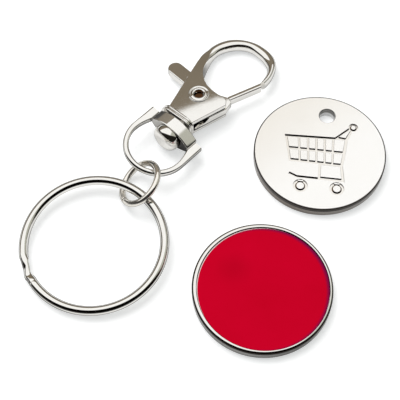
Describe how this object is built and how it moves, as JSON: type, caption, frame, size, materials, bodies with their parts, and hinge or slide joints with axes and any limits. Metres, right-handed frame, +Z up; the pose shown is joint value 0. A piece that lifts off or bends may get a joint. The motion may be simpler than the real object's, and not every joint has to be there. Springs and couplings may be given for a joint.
{
  "type": "trolley coin keyring",
  "caption": "Pocket keyring set: a swivel lobster clasp with a D-shaped yoke, a jump ring, a split ring and loose trolley coins, one engraved and one with a red face",
  "frame": {"origin": "middle of the footprint of everything, on the surface that it lies on", "axes": "+Z up from the surface; +Y away from the camera of the picture, so the clasp's nose is at the back; +X to the right, where the coins lie"},
  "size_m": [0.0632, 0.0622, 0.0061],
  "materials": {
    "nickel": "bright nickel plating, smooth",
    "satin_nickel": "satin nickel plating",
    "pin": "dull brownish steel",
    "spring": "plain spring steel",
    "red_enamel": "smooth red enamel"
  },
  "bodies": {
    "clasp": {"clasp_body": "nickel", "gate_pin": "pin", "gate_spring": "spring", "swivel_rivet": "nickel"},
    "gate": {"gate_lever": "nickel"},
    "yoke": {"swivel_yoke": "nickel"},
    "jump_ring": {"jump_ring": "nickel"},
    "split_ring": {"split_ring": "nickel"},
    "cart_coin": {"cart_token": "satin_nickel"},
    "rim_coin": {"rim_token_body": "nickel", "rim_token_inlay": "red_enamel"}
  },
  "joints": [
    {"name": "gate_turn", "type": "hinge", "parent": "clasp", "child": "gate", "pos_m": [-0.00131, 0.01694, 0.00245], "axis": [-0.0232, 0.1037, 0.9943], "range_deg": [0, 24], "stiffness_Nm_per_rad": 0.01, "springref_deg": -57.3, "deforming": ["gate_spring"]},
    {"name": "yoke_swivel", "type": "hinge", "parent": "clasp", "child": "yoke", "pos_m": [-0.0002, 0.01594, 0.00258], "axis": [0.6743, 0.7359, -0.0611], "continuous": true},
    {"name": "jump_ring_swing", "type": "hinge", "parent": "yoke", "child": "jump_ring", "pos_m": [-0.01173, 0.00217, 0.0036], "axis": [0.8214, -0.5606, -0.1054], "range_deg": [-30, 50]},
    {"name": "split_ring_swing", "type": "hinge", "parent": "jump_ring", "child": "split_ring", "pos_m": [-0.0146, -0.0007, 0.00059], "axis": [0.0543, 0.9952, -0.0814], "range_deg": [0, 60]},
    {"name": "cart_token_lift", "type": "slide", "parent": "clasp", "child": "cart_coin", "axis": [0, 0, 1], "range_m": [0, 0.03]},
    {"name": "rim_token_lift", "type": "slide", "parent": "clasp", "child": "rim_coin", "axis": [0, 0, 1], "range_m": [0, 0.03]}
  ]
}
